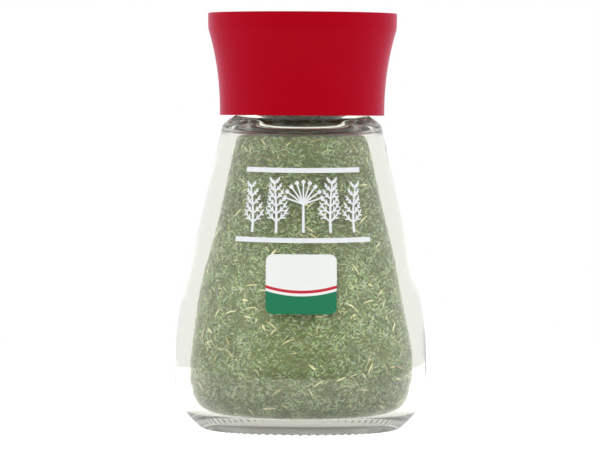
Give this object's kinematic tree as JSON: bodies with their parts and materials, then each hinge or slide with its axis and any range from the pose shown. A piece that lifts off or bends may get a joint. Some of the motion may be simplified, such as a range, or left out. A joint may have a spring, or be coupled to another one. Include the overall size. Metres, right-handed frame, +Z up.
{
  "type": "glass spice jar of dried dill",
  "caption": "Small conical glass spice jar with a flared red screw cap, filled to the foot of the neck with cut dried dill, for keeping and shaking out the herb.",
  "frame": {"origin": "centre of the base, on the surface that the jar stands on", "axes": "+Z up along the jar's axis, -Y towards the front, where the label is"},
  "size_m": [0.0578, 0.0578, 0.095],
  "materials": {
    "clear_glass": "polished",
    "natural_polyethylene": "satin",
    "dried_leaf": "matte",
    "liner_foam": "matte",
    "red_plastic": "satin",
    "label_film": "satin"
  },
  "bodies": {
    "jar": {"glass_jar": "clear_glass", "shaker_insert": "natural_polyethylene", "dried_dill": "dried_leaf", "label": "label_film"},
    "liner": {"cap_liner": "liner_foam"},
    "cap": {"screw_cap": "red_plastic"}
  },
  "joints": [
    {"name": "cap_rise", "type": "slide", "parent": "jar", "child": "liner", "axis": [0, 0, 1], "range_m": [0, 0.0048]},
    {"name": "cap_turn", "type": "hinge", "parent": "liner", "child": "cap", "pos_m": [0, 0, 0.08], "axis": [0, 0, 1], "range_deg": [0, 540]}
  ],
  "couplings": [
    {"joint": "cap_rise", "follows": "cap_turn", "m_per_rad": 0.00050929}
  ]
}
